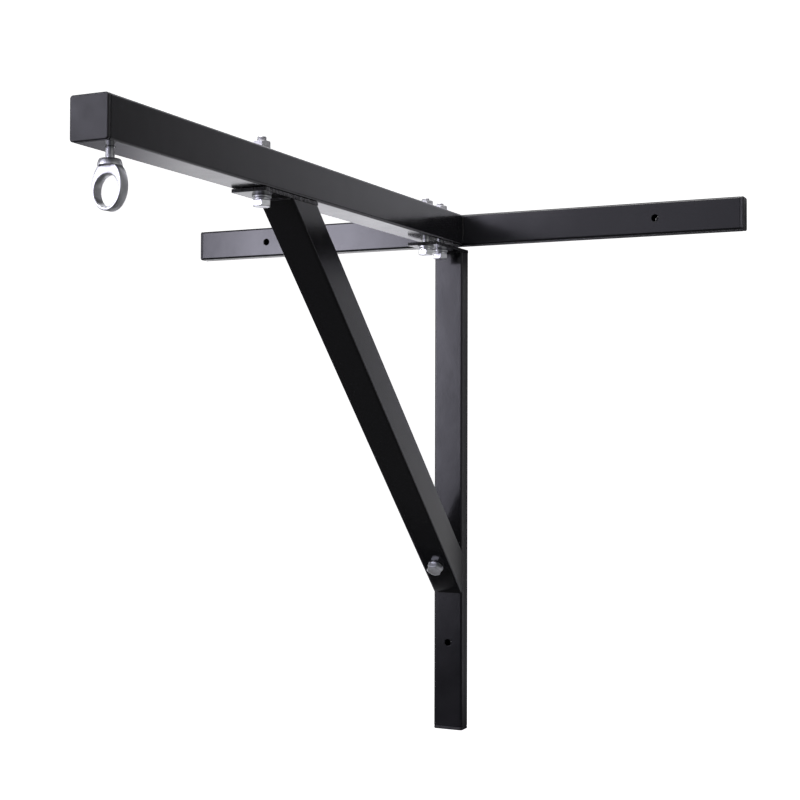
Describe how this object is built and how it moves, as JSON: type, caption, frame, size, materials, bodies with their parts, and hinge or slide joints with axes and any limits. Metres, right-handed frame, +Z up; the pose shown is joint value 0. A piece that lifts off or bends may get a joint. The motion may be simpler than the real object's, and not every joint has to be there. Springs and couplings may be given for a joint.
{
  "type": "wall bracket for a hanging punch bag",
  "caption": "Wall bracket of black square tube: a crossbar, a post, an arm braced from below, and a swivelling steel eye under the arm's end for a punch bag's chain.",
  "frame": {"origin": "on the wall, at the centre of the crossbar's back face", "axes": "+X to the right along the wall, +Y into the wall, +Z up; the arm points along -Y"},
  "size_m": [0.766, 0.776, 0.6826],
  "materials": {
    "black_powder_coat": "smooth satin to semi-gloss black powder coat over steel tube and plate",
    "black_plastic": "moulded black polyethylene end caps with a fine matt grain",
    "zinc_plated_steel": "bright zinc-plated steel fixings and forged eye"
  },
  "bodies": {
    "bracket": {"crossbar_tube": "black_powder_coat", "crossbar_cap_left": "black_plastic", "crossbar_cap_right": "black_plastic", "arm_tube": "black_powder_coat", "arm_front_cap": "black_plastic", "post_top_plate": "black_powder_coat", "post_tube": "black_powder_coat", "post_foot_cap": "black_plastic", "brace_tube": "black_powder_coat", "brace_top_plate": "black_powder_coat", "foot_tab": "black_powder_coat", "foot_weld_nut": "zinc_plated_steel", "foot_bolt": "zinc_plated_steel", "foot_bolt_washer": "zinc_plated_steel", "arm_bolt": "zinc_plated_steel", "arm_bolt_washer": "zinc_plated_steel", "arm_bolt_spring_washer": "zinc_plated_steel", "arm_bolt_top_washer": "zinc_plated_steel", "arm_bolt_nut": "zinc_plated_steel", "post_bolt_1": "zinc_plated_steel", "post_bolt_1_washer": "zinc_plated_steel", "post_bolt_1_spring_washer": "zinc_plated_steel", "post_bolt_1_nut": "zinc_plated_steel", "post_bolt_2": "zinc_plated_steel", "post_bolt_2_washer": "zinc_plated_steel", "post_bolt_2_spring_washer": "zinc_plated_steel", "post_bolt_2_nut": "zinc_plated_steel"},
    "eye": {"eye_bolt": "zinc_plated_steel", "eye_washer": "zinc_plated_steel", "eye_nut": "zinc_plated_steel"}
  },
  "joints": [
    {"name": "eye_swivel", "type": "hinge", "parent": "bracket", "child": "eye", "pos_m": [0, -0.746, -0.02], "axis": [0, 0, 1], "continuous": true}
  ]
}
